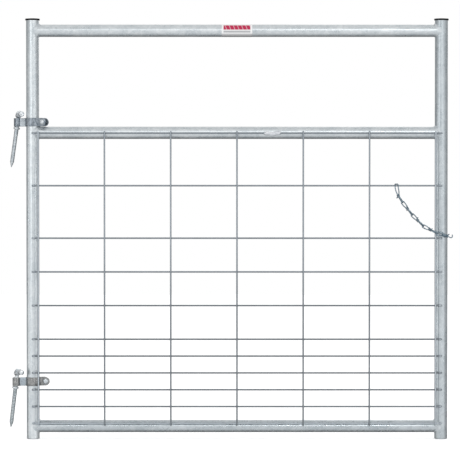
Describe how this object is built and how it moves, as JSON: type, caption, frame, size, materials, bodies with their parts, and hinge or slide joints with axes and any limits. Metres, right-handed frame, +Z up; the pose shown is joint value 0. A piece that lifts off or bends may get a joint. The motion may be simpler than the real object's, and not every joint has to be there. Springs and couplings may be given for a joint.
{
  "type": "garden gate",
  "caption": "Galvanised tube gate leaf with welded wire infill, wrap-around strap hinges with screw hooks, push-in post caps and a hook-over latch chain.",
  "frame": {"origin": "bottom centre of the whole envelope, level with the feet of the two posts", "axes": "+X from the hinge post to the latch post, +Y away from the side that carries the wires, +Z up"},
  "size_m": [1.3347, 0.0754, 1.27],
  "materials": {
    "galvanised_tube": "hot-dip galvanised, satin with a faint mottle",
    "galvanised_wire": "galvanised wire, satin",
    "strap_steel": "zinc plated strip, satin",
    "bolt_steel": "bright zinc plated",
    "hook_steel": "zinc plated, satin",
    "chain_wire": "zinc plated wire, bright",
    "cap_plastic": "moulded black plastic, semi gloss",
    "label_film": "printed film with plain colour bars"
  },
  "bodies": {
    "leaf": {"hinge_post": "galvanised_tube", "latch_post": "galvanised_tube", "hinge_post_cap": "cap_plastic", "latch_post_cap": "cap_plastic", "top_rail": "galvanised_tube", "mid_rail": "galvanised_tube", "bottom_rail": "galvanised_tube", "rail_label": "label_film", "cross_wire_01": "galvanised_wire", "cross_wire_02": "galvanised_wire", "cross_wire_03": "galvanised_wire", "cross_wire_04": "galvanised_wire", "cross_wire_05": "galvanised_wire", "cross_wire_06": "galvanised_wire", "cross_wire_07": "galvanised_wire", "cross_wire_08": "galvanised_wire", "cross_wire_09": "galvanised_wire", "cross_wire_10": "galvanised_wire", "cross_wire_11": "galvanised_wire", "upright_wire_1": "galvanised_wire", "upright_wire_2": "galvanised_wire", "upright_wire_3": "galvanised_wire", "upright_wire_4": "galvanised_wire", "upright_wire_5": "galvanised_wire", "upright_wire_6": "galvanised_wire", "upright_wire_7": "galvanised_wire", "top_hinge_strap": "strap_steel", "top_hinge_bolt": "bolt_steel", "top_hinge_nut": "bolt_steel", "bottom_hinge_strap": "strap_steel", "bottom_hinge_bolt": "bolt_steel", "bottom_hinge_nut": "bolt_steel", "chain_anchor_link": "chain_wire"},
    "top_hook": {"top_screw_hook": "hook_steel", "top_hook_collar": "bolt_steel"},
    "bottom_hook": {"bottom_screw_hook": "hook_steel", "bottom_hook_collar": "bolt_steel"},
    "chain_1": {"chain_link_1": "chain_wire"},
    "chain_2": {"chain_link_2": "chain_wire"},
    "chain_3": {"chain_link_3": "chain_wire"},
    "chain_end": {"chain_end_hook": "chain_wire"}
  },
  "joints": [
    {"name": "top_hook_turn", "type": "hinge", "parent": "leaf", "child": "top_hook", "pos_m": [-0.644, 0.02615, 0.9569], "axis": [0.1392, 0, 0.9903], "range_deg": [-275, 8]},
    {"name": "bottom_hook_turn", "type": "hinge", "parent": "leaf", "child": "bottom_hook", "pos_m": [-0.64673, -0.00846, 0.174], "axis": [0.1167, 0, 0.9932], "range_deg": [-250, 40]},
    {"name": "chain_link_1_lift", "type": "hinge", "parent": "leaf", "child": "chain_1", "pos_m": [0.6231, -0.0315, 0.6219], "axis": [0, 1, 0], "range_deg": [0, 15]},
    {"name": "chain_link_2_lift", "type": "hinge", "parent": "chain_1", "child": "chain_2", "pos_m": [0.58093, -0.0315, 0.64376], "axis": [0, 1, 0], "range_deg": [0, 10]},
    {"name": "chain_link_3_lift", "type": "hinge", "parent": "chain_2", "child": "chain_3", "pos_m": [0.5474, -0.0315, 0.67741], "axis": [0, 1, 0], "range_deg": [0, 10]},
    {"name": "chain_hook_lift", "type": "hinge", "parent": "chain_3", "child": "chain_end", "pos_m": [0.51822, -0.0315, 0.71489], "axis": [0, 1, 0], "range_deg": [0, 15]}
  ]
}
